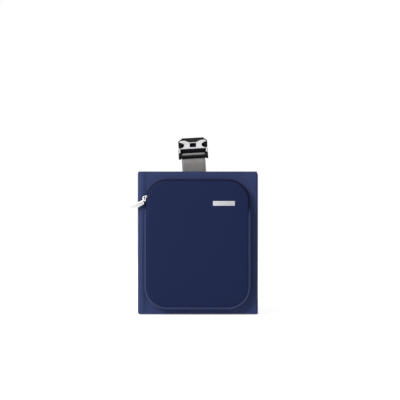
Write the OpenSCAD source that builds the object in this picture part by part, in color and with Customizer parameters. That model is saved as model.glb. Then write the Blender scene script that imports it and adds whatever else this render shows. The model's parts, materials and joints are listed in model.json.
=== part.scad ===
// Travel pouch for a suitcase's telescopic handle, with a zipped front pocket
// and a buckled webbing strap that holds a second bag against the handle.
// X runs to the right as the pocket is faced, +Y to the back, +Z up.
// The origin is the middle of the handle sleeve, at the pouch's bottom edge.

/* [Pouch] */
// Width of the pouch
pouch_w = 160; // [150:1:180]
// Height of the pouch
pouch_h = 190; // [180:1:220]
// Front-to-back room in the sleeve, where the rear flange narrows it
sleeve_gap = 17; // [14:0.5:22]
// Thickness of the padded fold down the left side
left_band_t = 3.5; // [2.5:0.1:5]
// Thickness of the bound seam down the right side
right_band_t = 1.5; // [1:0.1:3]

/* [Pocket] */
// Width of the pocket's face
face_w = 134.6; // [110:0.1:140]
// Height of the pocket's face
face_h = 167; // [140:0.5:170]
// Height of the face's lower edge above the pouch's bottom
face_z = 10.3; // [8:0.1:14]
// Corner radius of the pocket's face
face_r = 27; // [20:0.5:35]
// Room in the pocket, front to back
pocket_depth = 8.2; // [8:0.1:14]
// Height of the fold that the pocket's flap opens on
fold_z = 141; // [120:0.5:143]
// Diameter of the piping round the pocket
piping_d = 2.7; // [1.5:0.1:4]

/* [Strap] */
// Width of the webbing
strap_w = 32; // [25:1:38]
// Thickness of the webbing
strap_t = 1.5; // [1:0.1:2]
// Depth of the bag that the strap holds
bag_depth = 98; // [80:1:130]
// Sideways lean of the strap towards the left
strap_lean = 3.2; // [0:0.1:5]

/* [Buckle] */
// Width of the buckle
buckle_w = 40; // [38:0.5:46]
// Length of the socket half
socket_len = 40; // [40:0.5:48]
// Backward tilt of the buckle from upright
buckle_tilt = 52; // [40:1:60]

/* [Hidden] */
$fn = 48;

// Sheet thicknesses
cloth_t = 0.8;
lining_t = 1;
board_t = 2;
foam_t = 1.5;
tape_t = 0.8;
hook_t = 0.9;
flange_t = 1.5;
run_gap = 0.3;
edge_inset = 3;

// Faces of the front panel, numbered from the sleeve forwards
sleeve_y = -sleeve_gap / 2;
board_y = sleeve_y - lining_t;
cloth_y = board_y - board_t;
panel_y = cloth_y - lining_t;
face_in_y = panel_y - pocket_depth;
foam_y = face_in_y - foam_t;
face_y = foam_y - cloth_t;
zip_y = panel_y - pocket_depth / 2;

// Faces of the rear wall, numbered from the sleeve backwards
flange_y = sleeve_gap / 2;
hook_y = flange_y + flange_t;
loop_y = hook_y + hook_t + run_gap;
wing_in_y = loop_y + tape_t;
wing_lining_t = 0.6;
wing_board_t = 0.8;
wing_y = wing_in_y + wing_lining_t + wing_board_t + cloth_t;

// Outline of the panel and of the pocket's face
panel_x0 = -pouch_w / 2 + left_band_t;
panel_x1 = pouch_w / 2 - right_band_t;
face_cx = -0.4;
face_x0 = face_cx - face_w / 2;
face_x1 = face_cx + face_w / 2;
face_z1 = face_z + face_h;
hem_h = 3;
right_band_z1 = pouch_h - hem_h;
flange_z = [4, pouch_h - 8];
hook_tape_z = [14, pouch_h - 18];
loop_tape_z = [10, pouch_h - 14];

// Slip pocket and badge
slip_side = 9;
slip_foot = 12;
slip_top = fold_z - 13;
slip_room = 3;
badge_x = [20, 49];
badge_z = [fold_z + 3.4, fold_z + 9.7];
badge_t = 0.6;

// Zip: the two halves of the chain stand a little apart, with the slider's web between them
zip_gap = 1;
coil_w = 1.2;
coil_t = 0.9;
zip_end_z = fold_z + 1.5;
corner_x = face_x0 + face_r;
corner_z = face_z1 - face_r;
slider_angle = 7.6;
slider_span = 16.4;
slider_w = 6.4;
slider_web = 0.5;
slider_wing_in = [face_r - 3, face_r - 1.5];
slider_wing_out = [face_r + 1.4, face_r + 2.5];
stop_t = 1.4;
stop_h = 2;
crown_r = 3.4;
crown_hole_r = 2.2;
crown_in = slider_wing_out[1];
crown_t = 2;
ring_wire_r = 0.5;
ring_len = 6.7;
ring_half_w = 1.95;
ring_swing = 25;
tab_len = 22;
tab_w = 6;
tab_t = 1.2;
tab_drop = 29;
tab_hole_r = 0.9;
link_r = crown_in + 1.4;
link_x = corner_x - link_r * cos(slider_angle);
link_z = corner_z + link_r * sin(slider_angle);
tab_x = link_x - ring_len * sin(ring_swing);
tab_z = link_z - ring_len * cos(ring_swing);

// Rear wing, which folds open on the left edge
wing_x0 = -pouch_w / 2 + 1.7;
wing_x1 = pouch_w / 2 - 6;
wing_z0 = 2;
wing_z1 = pouch_h - 4;
flange_x0 = pouch_w / 2 - 40;
hook_tape_x = [flange_x0 + 5, flange_x0 + 30];
loop_tape_x = [flange_x0 + 3, flange_x0 + 32];

// Strap: its own upright plane leans a little about the place where it leaves the pouch
strap_x = -4.8;
strap_line_y = wing_y + strap_t / 2;
strap_back_y = wing_y + bag_depth + strap_t / 2;
anchor_low = pouch_h - 42;
low_run_z = 38;
low_anchor_top = 82;
patch_margin = 4;
patch_t = 1;
corner_bend = 16;

// Buckle, drawn flat and upright: X across, Z along it, its face towards -Y
buckle_y = strap_line_y + 0.6;
buckle_z = pouch_h + 16.8;
shell_z = 18;
shell_front = -5;
shell_back = 4.5;
cavity_w = 32.6;
cavity_t = 5.2;
window_r = 8;
window_z = 26.4;
window_x = buckle_w / 2;
square_x = [-4.4, 4.4];
square_z = [21, 31.2];
cover_t = 0.8;
prong_w = 2;
prong_z = 9;
hollow_z = 32.6;
hollow_half = 3.9;
hollow_ramp = 8;
ear_z = 37.4;
ear_x = 16;
leg_w = 3;
leg_z = 2.7;
leg_back = 1;
lower_bar_z = [leg_z, 6.2];
lower_bar_y = [-3.4, -0.2];
upper_bar_z = [9.5, 11.6];
upper_bar_y = [-1.2, leg_back];
bar_w = buckle_w - 2 * leg_w;
arm_root_z = 44.8;
arm_t = 4.2;
tail_tilt = 102;
tail_z = 46;
tail_len = 15;
tail_foot = 0.6;
tail_bar = 3;
tail_w = 17.9;
tail_side = 1.6;
tail_t = 3.2;
tongue_w = 8;
tongue_t = 4;
tongue_z = 23;
neck_w = 20.8;
neck_z = 36;
shoulder_w = 23.6;
shoulder_z = 42.5;
head_w = 31.2;
male_t = 4.6;

navy = [0.15, 0.18, 0.34];
dark_navy = [0.10, 0.12, 0.22];
grey = [0.52, 0.52, 0.52];
silver = [0.82, 0.82, 0.83];
black = [0.06, 0.06, 0.07];

// ---- shapes that repeat ----

// A sheet or block between two corners
module block(x, y, z) {
    translate([x[0], y[0], z[0]]) cube([x[1] - x[0], y[1] - y[0], z[1] - z[0]]);
}

// A drawing in X and Z, made solid from y0 back to y1
module upright(y0, y1) {
    translate([0, y1, 0]) rotate([90, 0, 0]) linear_extrude(y1 - y0) children();
}

// The pocket's outline, grown outwards by d
module face_outline(d = 0) {
    r = face_r + d;
    translate([face_cx, face_z + face_h / 2]) {
        square([face_w + 2 * d, face_h + 2 * d - 2 * r], center = true);
        square([face_w + 2 * d - 2 * r, face_h + 2 * d], center = true);
        for (sx = [-1, 1], sz = [-1, 1])
            translate([sx * (face_w / 2 + d - r), sz * (face_h / 2 + d - r)]) circle(r);
    }
}

// The same outline between two heights
module face_part(z0, z1, d = 0) {
    intersection() {
        face_outline(d);
        translate([-pouch_w / 2, z0]) square([pouch_w, z1 - z0]);
    }
}

// A wall that follows the outline from d_in out to d_out, between two heights
module face_wall(z0, z1, d_in, d_out) {
    difference() {
        face_part(z0, z1, d_out);
        face_outline(d_in);
    }
}

// A curved plate round the zip's corner: radii, front and back, and the angles above level
module corner_plate(r0, r1, y0, y1, a0, a1) {
    translate([corner_x, 0, corner_z]) rotate([90, 0, 0])
        rotate_extrude(angle = a1 - a0, start = 180 - a1)
            translate([r0, -y1]) square([r1 - r0, y1 - y0]);
}

// Places a child in the strap's leaning plane
module strap_plane() {
    translate([strap_x, 0, pouch_h]) rotate([0, -strap_lean, 0]) translate([0, 0, -pouch_h]) children();
}

// Places a child in the buckle's own frame
module buckle_frame() {
    strap_plane() translate([0, buckle_y, buckle_z]) rotate([-buckle_tilt, 0, 0]) children();
}

// Places a child in the frame of the male half's tail
module tail_frame() {
    buckle_frame() translate([0, 0, tail_z]) rotate([buckle_tilt - tail_tilt, 0, 0]) children();
}

// Points of an arc in the plane of the strap's path: centre, radius, first and last angle
function arc(c, r, a0, a1, n = 8) =
    [for (i = [0:n]) let (a = a0 + (a1 - a0) * i / n) [c[0] + r * cos(a), c[1] + r * sin(a)]];

function unit(v) = v / norm(v);

// The sideways direction at point i of a path
function side(p, i) =
    let (
        before = unit(p[max(i, 1)] - p[max(i, 1) - 1]),
        after = unit(p[min(i + 1, len(p) - 1)] - p[min(i + 1, len(p) - 1) - 1]),
        mid = unit(before + after)
    ) [-mid[1], mid[0]] / (mid * before);

// Webbing of a given width and thickness along a path of [y, z] points
module webbing(path, width, t) {
    last = len(path) - 1;
    outline = concat(
        [for (i = [0:last]) path[i] + side(path, i) * t / 2],
        [for (i = [last:-1:0]) path[i] - side(path, i) * t / 2]
    );
    rotate([90, 0, 90]) translate([0, 0, -width / 2]) linear_extrude(width) polygon(outline);
}

// Carries a point [y, z] of the buckle's frame into the strap's plane
function in_plane(p, a = buckle_tilt) = [
    buckle_y + p[0] * cos(a) + p[1] * sin(a),
    buckle_z - p[0] * sin(a) + p[1] * cos(a)
];

tail_root = in_plane([0, tail_z]);

// The same for a point of the tail's frame
function in_tail(p) = [
    tail_root[0] + p[0] * cos(tail_tilt) + p[1] * sin(tail_tilt),
    tail_root[1] - p[0] * sin(tail_tilt) + p[1] * cos(tail_tilt)
];

// ---- front panel ----

module front_panel() {
    color(navy) block([panel_x0, panel_x1], [panel_y, cloth_y], [0, pouch_h]);
}

module panel_board() {
    color("white")
        block([panel_x0 + hem_h, panel_x1 - hem_h], [cloth_y, board_y], [hem_h, pouch_h - hem_h]);
}

module panel_lining() {
    color(dark_navy) block([panel_x0, panel_x1], [board_y, sleeve_y], [0, pouch_h]);
}

module hem(z0) {
    color(navy) block([panel_x0, panel_x1], [cloth_y, board_y], [z0, z0 + hem_h]);
}

module top_hem() { hem(pouch_h - hem_h); }

module bottom_hem() { hem(0); }

// ---- sleeve ----

module left_side_band() {
    r = left_band_t - 0.5;
    top = pouch_h - 1;
    color(navy) difference() {
        block([-pouch_w / 2, panel_x0], [panel_y, wing_in_y - run_gap], [0, top]);
        translate([-pouch_w / 2, panel_y, -1]) difference() {
            translate([-1, -1, 0]) cube([r + 1, r + 1, pouch_h]);
            translate([r, r, -1]) cylinder(r = r, h = pouch_h + 2);
        }
    }
}

module right_side_band() {
    color(dark_navy) block([panel_x1, pouch_w / 2], [panel_y, hook_y], [0, right_band_z1]);
}

module rear_flange() {
    color(navy) block([flange_x0, panel_x1], [flange_y, hook_y], flange_z);
}

module hook_tape() {
    color(dark_navy) block(hook_tape_x, [hook_y, hook_y + hook_t], hook_tape_z);
}

// ---- pocket ----

module pocket_face() {
    color(navy) upright(face_y, foam_y) face_part(face_z, fold_z - run_gap / 2);
}

module face_foam() {
    color("dimgray") upright(foam_y, face_in_y) face_part(face_z, fold_z - run_gap / 2, -1);
}

module pocket_gusset() {
    color(dark_navy) upright(face_in_y, panel_y) face_wall(face_z, fold_z - run_gap / 2, -1, 0);
}

// A roll of cloth from one end of the zip, down round the pocket's foot and up to the other end
module pocket_piping() {
    r = piping_d / 2;
    bend = face_r + r;
    run = fold_z - 1 - face_z - face_r;
    color(navy) translate([face_cx, foam_y + r, face_z + face_r]) {
        for (sx = [-1, 1]) {
            translate([sx * (face_w / 2 + r), 0, 0]) cylinder(r = r, h = run);
            translate([sx * (face_w / 2 - face_r), 0, 0]) rotate([90, 0, 0])
                rotate_extrude(angle = 90, start = sx < 0 ? 180 : 270)
                    translate([bend, 0]) circle(r);
        }
        translate([-face_w / 2 + face_r, 0, -bend]) rotate([0, 90, 0])
            cylinder(r = r, h = face_w - 2 * face_r);
    }
}

// A flat pocket sewn to the panel inside the main one, open at the top
module slip_pocket() {
    seam = 3;
    x = [face_x0 + slip_side, face_x1 - slip_side];
    z = [face_z + slip_foot, slip_top];
    front = panel_y - slip_room;
    color(dark_navy) {
        block(x, [front, front + cloth_t], z);
        block([x[0], x[0] + seam], [front + cloth_t, panel_y], z);
        block([x[1] - seam, x[1]], [front + cloth_t, panel_y], z);
        block(x, [front + cloth_t, panel_y], [z[0], z[0] + seam]);
    }
}

// ---- zip ----

module zip_tape_rear() {
    color(dark_navy)
        upright(zip_y + zip_gap / 2, panel_y) face_wall(fold_z + run_gap / 2, face_z1, -tape_t, 0);
}

module zip_tape_front() {
    color(dark_navy)
        upright(face_in_y, zip_y - zip_gap / 2) face_wall(fold_z + run_gap / 2, face_z1, -tape_t, 0);
}

module zip_coil(y0, y1) {
    color(black) upright(y0, y1) face_wall(zip_end_z, face_z1 + coil_t, 0, coil_t);
}

module zip_coil_rear() { zip_coil(zip_y + zip_gap / 2, zip_y + zip_gap / 2 + coil_w); }

module zip_coil_front() { zip_coil(zip_y - zip_gap / 2 - coil_w, zip_y - zip_gap / 2); }

// A small crimped bar that ends the chain, on the gusset just below it
module zip_stop(x) {
    half = zip_gap / 2 + coil_w + 0.1;
    color(silver) block([x, x + stop_t], [zip_y - half, zip_y + half], [fold_z - stop_h - 0.6, fold_z - 0.6]);
}

module zip_stop_left() { zip_stop(face_x0 - stop_t); }

module zip_stop_right() { zip_stop(face_x1); }

// One curved plate inside the zip's corner, one outside it and a thin web between them
module zip_slider() {
    from = slider_angle - slider_span / 2;
    to = slider_angle + slider_span / 2;
    half = slider_w / 2;
    color(silver) {
        corner_plate(slider_wing_in[0], slider_wing_in[1], zip_y - half + 0.2, zip_y + half - 0.2, from, to);
        corner_plate(slider_wing_out[0], slider_wing_out[1], zip_y - half, zip_y + half, from, to);
        corner_plate(slider_wing_in[1] - 0.1, slider_wing_out[0] + 0.1,
            zip_y - slider_web / 2, zip_y + slider_web / 2, slider_angle + 2, to);
        slider_crown();
    }
}

// The arch that the pull hangs from, its feet sunk in the outer plate
module slider_crown() {
    foot = 0.5;
    translate([corner_x, zip_y + crown_t / 2, corner_z]) rotate([0, slider_angle, 0]) rotate([90, 0, 0])
        translate([-crown_in - 0.1, 0, 0]) difference() {
            cylinder(r = crown_r, h = crown_t);
            translate([0, 0, -1]) cylinder(r = crown_hole_r, h = crown_t + 2);
            translate([foot, -crown_r - 1, -1]) cube([crown_r + 1, 2 * crown_r + 2, crown_t + 2]);
        }
}

// A rectangular loop of wire between the crown and the tab
module pull_ring() {
    color(silver) translate([link_x, zip_y, link_z]) rotate([0, ring_swing, 0])
        for (s = [-1, 1]) {
            translate([0, s * ring_half_w, -ring_len]) cylinder(r = ring_wire_r, h = ring_len);
            translate([0, ring_half_w, s < 0 ? -ring_len : 0]) rotate([90, 0, 0])
                cylinder(r = ring_wire_r, h = 2 * ring_half_w);
            for (z = [-ring_len, 0]) translate([0, s * ring_half_w, z]) sphere(ring_wire_r);
        }
}

// A flat pull with round corners, reaching a little past the hole it hangs by
module pull_tab() {
    x1 = 2.6;
    x0 = x1 - tab_len;
    r = 2;
    half = tab_w / 2;
    color(silver) translate([tab_x, zip_y + tab_t / 2, tab_z]) rotate([0, -tab_drop, 0]) rotate([90, 0, 0])
        difference() {
            union() {
                translate([x0 + r, -half, 0]) cube([tab_len - 2 * r, tab_w, tab_t]);
                translate([x0, -half + r, 0]) cube([tab_len, tab_w - 2 * r, tab_t]);
                for (side = [-1, 1], x = [x0 + r, x1 - r])
                    translate([x, side * (half - r), 0]) cylinder(r = r, h = tab_t);
            }
            translate([0, 0, -1]) cylinder(r = tab_hole_r, h = tab_t + 2);
        }
}

// ---- pocket flap ----

module pocket_flap() {
    color(navy) upright(face_y, foam_y) face_part(fold_z + run_gap / 2, face_z1);
}

module flap_foam() {
    color("dimgray") upright(foam_y, face_in_y) face_part(fold_z + run_gap / 2, face_z1, -1);
}

module badge() {
    color(silver) block(badge_x, [face_y - badge_t, face_y], badge_z);
}

// ---- rear wing ----

module rear_wing() {
    color(navy) block([wing_x0, wing_x1], [wing_y - cloth_t, wing_y], [wing_z0, wing_z1]);
}

module wing_board() {
    y = wing_in_y + wing_lining_t;
    color("white") block([wing_x0 + edge_inset, wing_x1 - edge_inset], [y, y + wing_board_t],
        [wing_z0 + edge_inset, wing_z1 - edge_inset]);
}

module wing_lining() {
    color(dark_navy)
        block([wing_x0, wing_x1], [wing_in_y, wing_in_y + wing_lining_t], [wing_z0, wing_z1]);
}

module loop_tape() {
    color(dark_navy) block(loop_tape_x, [loop_y, wing_in_y], loop_tape_z);
}

// ---- strap ----

module anchor_patch(z0, z1) {
    half = strap_w / 2 + patch_margin;
    color(navy) strap_plane() block([-half, half], [wing_y + strap_t, wing_y + strap_t + patch_t], [z0, z1]);
}

module anchor_patch_upper() { anchor_patch(anchor_low - 3, anchor_low + 22); }

module anchor_patch_lower() { anchor_patch(low_run_z + 20, low_anchor_top + 3); }

// Up the wing, behind the socket's lower bar, over its upper bar and back down behind itself
module strap_front() {
    path = concat(
        [[strap_line_y, anchor_low], [strap_line_y, buckle_z - 6]],
        [for (p = [[1.5, -1.5], [1.5, 6.4], [-1.0, 7.8]]) in_plane(p)],
        [for (p = arc([-0.1, 10.2], 2.55, 200, 20, 8)) in_plane(p)],
        [for (p = [[3.4, 7.3], [3.4, -0.8]]) in_plane(p)],
        [[strap_line_y + strap_t + 0.4, buckle_z - 7.5], [strap_line_y + strap_t + 0.4, buckle_z - 16]]
    );
    color(grey) strap_plane() webbing(path, strap_w, strap_t);
}

// Where the strap's top run ends and its rear bend begins, and the bend's centre
top_slope = tail_tilt - 90;
top_bend_r = 20;
top_bend_y = strap_back_y - top_bend_r;
top_run_start = in_tail([0, tail_len + 3.2]);
top_run_end_y = top_bend_y + top_bend_r * sin(top_slope);
top_run_end = [top_run_end_y, top_run_start[1] - (top_run_end_y - top_run_start[0]) * tan(top_slope)];
top_bend_z = top_run_end[1] - top_bend_r * cos(top_slope);

// From the lower anchor, back under the bag and up behind it to the top bend
module strap_rear() {
    path = concat(
        [[strap_line_y, low_anchor_top]],
        arc([strap_line_y + 12, low_run_z + 12], 12, 180, 270),
        arc([strap_back_y - corner_bend, low_run_z + corner_bend], corner_bend, -90, 0),
        arc([top_bend_y, top_bend_z], top_bend_r, 0, 90 - top_slope)
    );
    color(grey) strap_plane() webbing(path, strap_w, strap_t);
}

// The stretch that slackens as the buckle is pulled open
module strap_top() {
    color(grey) strap_plane() webbing([top_run_end, top_run_start], strap_w, strap_t);
}

// Round the tail's bar and back over the top run
module strap_free_end() {
    bar_wrap = strap_t / 2 + tail_bar / 2 + 0.2;
    path = concat(
        [in_tail([0.85, tail_len + 3.0])],
        [for (p = arc([0, tail_len - tail_bar / 2], bar_wrap, 60, -180, 12)) in_tail([p[0], p[1]])],
        [in_tail([-bar_wrap, tail_len + 1]), in_tail([-bar_wrap, tail_len + 34])]
    );
    color(grey) strap_plane() webbing(path, strap_w, strap_t);
}

module strap_keeper() {
    wrap_x = strap_w / 2 + 0.3;
    wrap_y = [-strap_t * 2 - 1.4, strap_t / 2 + 0.4];
    wall = 1;
    z0 = tail_len + 20;
    color(black) tail_frame() difference() {
        block([-wrap_x - wall, wrap_x + wall], [wrap_y[0] - wall, wrap_y[1] + wall], [z0, z0 + 10]);
        block([-wrap_x, wrap_x], wrap_y, [z0 - 1, z0 + 11]);
    }
}

// ---- buckle ----

// Both side windows
module side_windows() {
    for (s = [-1, 1]) translate([s * window_x, window_z]) circle(window_r);
}

// A block of width w and thickness t centred on the Z axis, from z0 up to z1
module bar(w, t, z0, z1) {
    block([-w / 2, w / 2], [-t / 2, t / 2], [z0, z1]);
}

module buckle_female() {
    corner = 4;
    color(black) buckle_frame() {
        difference() {
            upright(shell_front, shell_back) difference() {
                union() {
                    translate([-buckle_w / 2, shell_z]) square([buckle_w, socket_len - corner - shell_z]);
                    translate([-buckle_w / 2 + corner, shell_z])
                        square([buckle_w - 2 * corner, socket_len - shell_z]);
                    for (s = [-1, 1]) translate([s * (buckle_w / 2 - corner), socket_len - corner])
                        circle(corner);
                }
                side_windows();
            }
            bar(cavity_w, cavity_t, shell_z + 2, socket_len + 1);
            block(square_x, [shell_front - 1, 0], square_z);
        }
        for (s = [-1, 1]) translate([s * (buckle_w - leg_w) / 2 - leg_w / 2, shell_front, leg_z])
            cube([leg_w, leg_back - shell_front, shell_z - leg_z + 1]);
        block([-bar_w / 2, bar_w / 2], lower_bar_y, lower_bar_z);
        block([-bar_w / 2, bar_w / 2], upper_bar_y, upper_bar_z);
    }
}

// Height of the cover's top edge at x: a hollow in the middle, an ear on each side of it
function cover_top(x) =
    let (a = abs(x), t = min(max((a - hollow_half) / hollow_ramp, 0), 1))
    hollow_z + (ear_z - hollow_z) * t * t * (3 - 2 * t) - 0.3 * pow(max(a - ear_x, 0), 2);

// Bright plate on the socket's face, with a waist, a hollow top, a square window and two prongs
module buckle_cover() {
    half = buckle_w / 2;
    color(silver) buckle_frame() {
        upright(shell_front - cover_t, shell_front) difference() {
            polygon(concat(
                [for (x = [-half : 1 : half]) [x, cover_top(x)]],
                [[half, shell_z], [-half, shell_z]]
            ));
            side_windows();
            translate([square_x[0], square_z[0]])
                square([square_x[1] - square_x[0], square_z[1] - square_z[0]]);
        }
        for (s = [-1, 1]) translate([s * (buckle_w - leg_w) / 2 - prong_w / 2, 0, 0])
            block([0, prong_w], [shell_front - cover_t, shell_front], [prong_z, shell_z + 0.5]);
    }
}

// Tongue, neck, shoulder and head in line with the socket, and a tilted frame for the webbing
module buckle_male() {
    color(black) {
        buckle_frame() {
            bar(tongue_w, tongue_t, tongue_z, neck_z + 0.5);
            bar(neck_w, male_t, neck_z, shoulder_z + 0.1);
            bar(shoulder_w, male_t, shoulder_z, tail_z);
            bar(head_w, male_t, tail_z - 0.4, tail_z + 2.4);
        }
        tail_frame() {
            bar(2 * tail_w, tail_t, tail_foot, tail_foot + 2.8);
            for (s = [-1, 1]) translate([s * (tail_w - tail_side / 2), 0, 0])
                bar(tail_side, tail_t, tail_foot, tail_len);
            translate([-tail_w, 0, tail_len - tail_bar / 2]) rotate([0, 90, 0])
                cylinder(d = tail_bar, h = 2 * tail_w);
        }
    }
}

// Outline of the right arm, from its root down past the catch to its tip
arm_points = [
    [12.1, arm_root_z], [15.6, arm_root_z], [15.8, 42], [15.8, 32.7], [18.4, 32.1], [19.2, 28.4],
    [17.2, 23.6], [14.8, 21.4], [13.4, 22.2], [15.4, 26.6], [15.3, 30.2], [13, 33.8], [12.6, 39]
];

module arm(s) {
    color(black) buckle_frame() upright(-arm_t / 2, arm_t / 2)
        polygon([for (p = arm_points) [s * p[0], p[1]]]);
}

module left_arm() { arm(-1); }

module right_arm() { arm(1); }

// ---- assembly ----

front_panel();
panel_board();
panel_lining();
top_hem();
bottom_hem();
left_side_band();
right_side_band();
rear_flange();
hook_tape();
pocket_face();
face_foam();
pocket_gusset();
pocket_piping();
slip_pocket();
zip_tape_rear();
zip_coil_rear();
zip_stop_left();
zip_stop_right();
pocket_flap();
flap_foam();
zip_tape_front();
zip_coil_front();
badge();
zip_slider();
pull_ring();
pull_tab();
rear_wing();
wing_board();
wing_lining();
loop_tape();
anchor_patch_upper();
anchor_patch_lower();
strap_front();
strap_rear();
strap_top();
strap_free_end();
strap_keeper();
buckle_female();
buckle_cover();
buckle_male();
left_arm();
right_arm();
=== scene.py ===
import json
import math

import bmesh
import bpy
import numpy as np
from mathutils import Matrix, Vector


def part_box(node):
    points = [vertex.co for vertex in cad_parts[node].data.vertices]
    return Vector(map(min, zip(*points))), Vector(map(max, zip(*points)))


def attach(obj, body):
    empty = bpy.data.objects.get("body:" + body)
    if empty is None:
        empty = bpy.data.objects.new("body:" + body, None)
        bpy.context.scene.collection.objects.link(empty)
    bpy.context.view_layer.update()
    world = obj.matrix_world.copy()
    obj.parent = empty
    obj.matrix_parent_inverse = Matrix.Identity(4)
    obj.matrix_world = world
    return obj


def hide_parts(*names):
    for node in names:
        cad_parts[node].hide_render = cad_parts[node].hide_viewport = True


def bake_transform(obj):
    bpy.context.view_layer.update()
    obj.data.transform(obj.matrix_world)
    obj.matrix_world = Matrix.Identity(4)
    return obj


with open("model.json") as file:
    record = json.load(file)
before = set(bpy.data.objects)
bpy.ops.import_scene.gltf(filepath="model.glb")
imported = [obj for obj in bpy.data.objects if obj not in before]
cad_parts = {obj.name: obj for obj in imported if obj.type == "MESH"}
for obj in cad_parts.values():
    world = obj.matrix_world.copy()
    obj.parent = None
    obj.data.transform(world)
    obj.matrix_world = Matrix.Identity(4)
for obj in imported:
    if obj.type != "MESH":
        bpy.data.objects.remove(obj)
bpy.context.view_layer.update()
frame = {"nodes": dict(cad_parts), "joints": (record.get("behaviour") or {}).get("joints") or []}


# ---- The setting ----
# A pale floor under the pouch's foot, a pale sky, one large soft light from the upper left
# and a weak one from the right. The camera looks square at the pocket through a long lens.

MM = 0.001
VIEW_WIDTH = 0.532
LENS_MM, SENSOR_MM = 100.0, 36.0
SKY_LIGHT = 0.48
FLOOR_GLOW = 0.5
FLOOR_HALF = 6.0


def look_at(obj, place, target):
    """Puts obj at place, turned so that its -Z axis points at target."""
    from mathutils import Vector
    obj.location = place
    obj.rotation_euler = (Vector(target) - Vector(place)).to_track_quat("-Z", "Y").to_euler()


def soft_light(name, place, target, size, watts, tint=(1, 1, 1)):
    data = bpy.data.lights.new(name, "AREA")
    data.size, data.energy, data.color = size, watts, tint
    lamp = bpy.data.objects.new(name, data)
    bpy.context.collection.objects.link(lamp)
    look_at(lamp, place, target)


panel_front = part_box("front_panel")[0][1]
view_x, view_z = 0.0029, 0.152
camera_data = bpy.data.cameras.new("camera")
camera_data.lens, camera_data.sensor_width = LENS_MM, SENSOR_MM
camera = bpy.data.objects.new("camera", camera_data)
bpy.context.collection.objects.link(camera)
camera_back = VIEW_WIDTH * LENS_MM / SENSOR_MM
look_at(camera, (view_x, panel_front - camera_back, view_z), (view_x, panel_front, view_z))
bpy.context.scene.camera = camera

soft_light("key", (-1.1, -0.95, 1.0), (0, 0, 0.12), 0.6, 44)
soft_light("fill", (1.1, -0.9, 0.35), (0, 0, 0.12), 1.2, 2)
soft_light("top", (0.0, 0.5, 1.4), (0, 0, 0.15), 0.7, 1.5)
world = bpy.data.worlds.new("studio")
world.use_nodes = True
world.node_tree.nodes["Background"].inputs["Color"].default_value = (1.0, 1.0, 1.0, 1)
sky_path = world.node_tree.nodes.new("ShaderNodeLightPath")
sky_level = world.node_tree.nodes.new("ShaderNodeMapRange")
sky_level.inputs["To Min"].default_value = SKY_LIGHT
sky_level.inputs["To Max"].default_value = 1.0
sky_seen = world.node_tree.nodes.new("ShaderNodeMath")
sky_seen.operation = "MAXIMUM"
world.node_tree.links.new(sky_path.outputs["Is Camera Ray"], sky_seen.inputs[0])
world.node_tree.links.new(sky_path.outputs["Is Glossy Ray"], sky_seen.inputs[1])
world.node_tree.links.new(sky_seen.outputs[0], sky_level.inputs["Value"])
sky = world.node_tree.nodes["Background"]
world.node_tree.links.new(sky_level.outputs["Result"], sky.inputs["Strength"])
bpy.context.scene.world = world
bpy.context.scene.view_settings.view_transform = "Standard"

floor_mesh = bpy.data.meshes.new("floor")
floor_corners = [(x * FLOOR_HALF, y * FLOOR_HALF, 0) for x, y in ((-1, -1), (1, -1), (1, 1), (-1, 1))]
floor_mesh.from_pydata(floor_corners, [], [(0, 1, 2, 3)])
floor_object = bpy.data.objects.new("floor", floor_mesh)
floor_object.location = (0, 0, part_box("front_panel")[0][2] - 0.001)
bpy.context.collection.objects.link(floor_object)
floor_paint = bpy.data.materials.new("floor_paint")
floor_paint.use_nodes = True
floor_inputs = floor_paint.node_tree.nodes["Principled BSDF"].inputs
floor_inputs["Base Color"].default_value = (0.86, 0.86, 0.86, 1)
floor_inputs["Roughness"].default_value = 0.7
floor_inputs["Emission Color"].default_value = (1, 1, 1, 1)
floor_inputs["Emission Strength"].default_value = FLOOR_GLOW
floor_mesh.materials.append(floor_paint)


# ---- Front panel ----
# The flat front of the pouch: navy polyester twill turned in over a stiff board and lined
# on the sleeve's side. Its top and bottom edges are hemmed and topstitched 3 mm in.

NAVY = (0.0140, 0.0195, 0.055)
NAVY_LIGHT = (0.0215, 0.0305, 0.081)
LINING = (0.010, 0.012, 0.036)
THREAD = (0.020, 0.027, 0.085)
FOLD_LAP, SEAM_LAP = 0.0030, 0.0006
CLOTH_PROUD = 0.0002
HEM_STITCH_IN = 0.003


def wire(tree, source, out, target, into):
    tree.links.new(source.outputs[out], target.inputs[into])


def math_node(tree, kind, first, second=None, clamp=False):
    """A Math node; each argument is a number or a (node, output) pair."""
    node = tree.nodes.new("ShaderNodeMath")
    node.operation, node.use_clamp = kind, clamp
    for k, value in enumerate((first, second)):
        if isinstance(value, tuple):
            tree.links.new(value[0].outputs[value[1]], node.inputs[k])
        elif value is not None:
            node.inputs[k].default_value = value
    return node, 0


def new_group(name, inputs, outputs):
    """An empty shader group with named float or vector inputs and float outputs."""
    group = bpy.data.node_groups.new(name, "ShaderNodeTree")
    for label, kind, value in inputs:
        socket = group.interface.new_socket(label, in_out="INPUT", socket_type=kind)
        if value is not None:
            socket.default_value = value
    for label in outputs:
        group.interface.new_socket(label, in_out="OUTPUT", socket_type="NodeSocketFloat")
    return group, group.nodes.new("NodeGroupInput"), group.nodes.new("NodeGroupOutput")


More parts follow.
